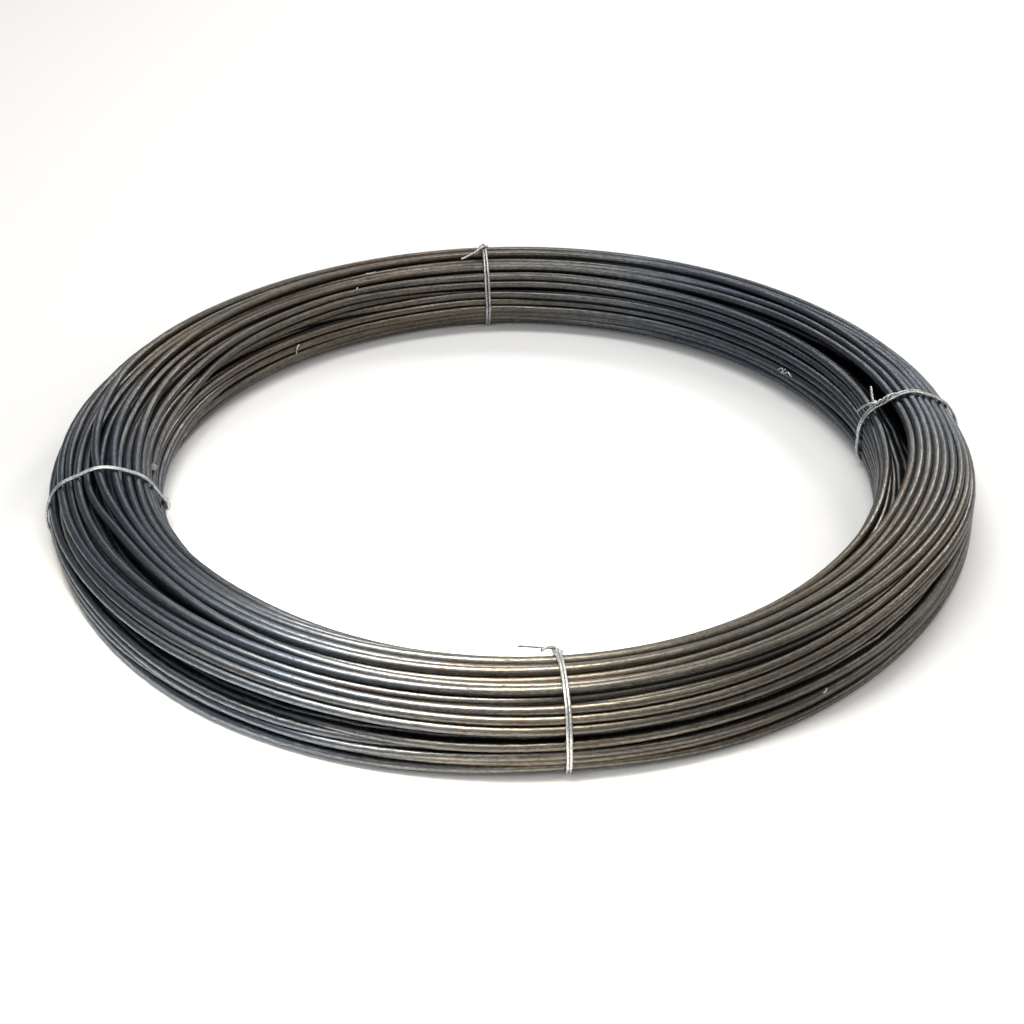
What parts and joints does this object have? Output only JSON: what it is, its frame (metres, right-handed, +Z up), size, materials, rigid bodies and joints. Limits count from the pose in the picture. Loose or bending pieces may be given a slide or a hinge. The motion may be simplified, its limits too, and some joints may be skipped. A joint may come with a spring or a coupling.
{
  "type": "coil of pencil rod",
  "caption": "Flat ring-shaped coil of thin round steel rod, bundled with wire ties, with an open eye in the middle.",
  "frame": {"origin": "on the coil's axis, on the floor that the coil lies on", "axes": "+Z up along the coil's axis, +X to the right and -Y towards the camera in the picture"},
  "size_m": [0.7002, 0.702, 0.066],
  "materials": {
    "rod_steel": "bare hot-rolled steel rod with a dark, satin mill surface and paler rubbed lines along it",
    "tie_wire": "pale galvanised soft wire, satin"
  },
  "bodies": {
    "root": {"rod_coil": "rod_steel", "tie_wire_front": "tie_wire", "tie_wire_right": "tie_wire", "tie_wire_back": "tie_wire", "tie_wire_left": "tie_wire"}
  },
  "joints": []
}
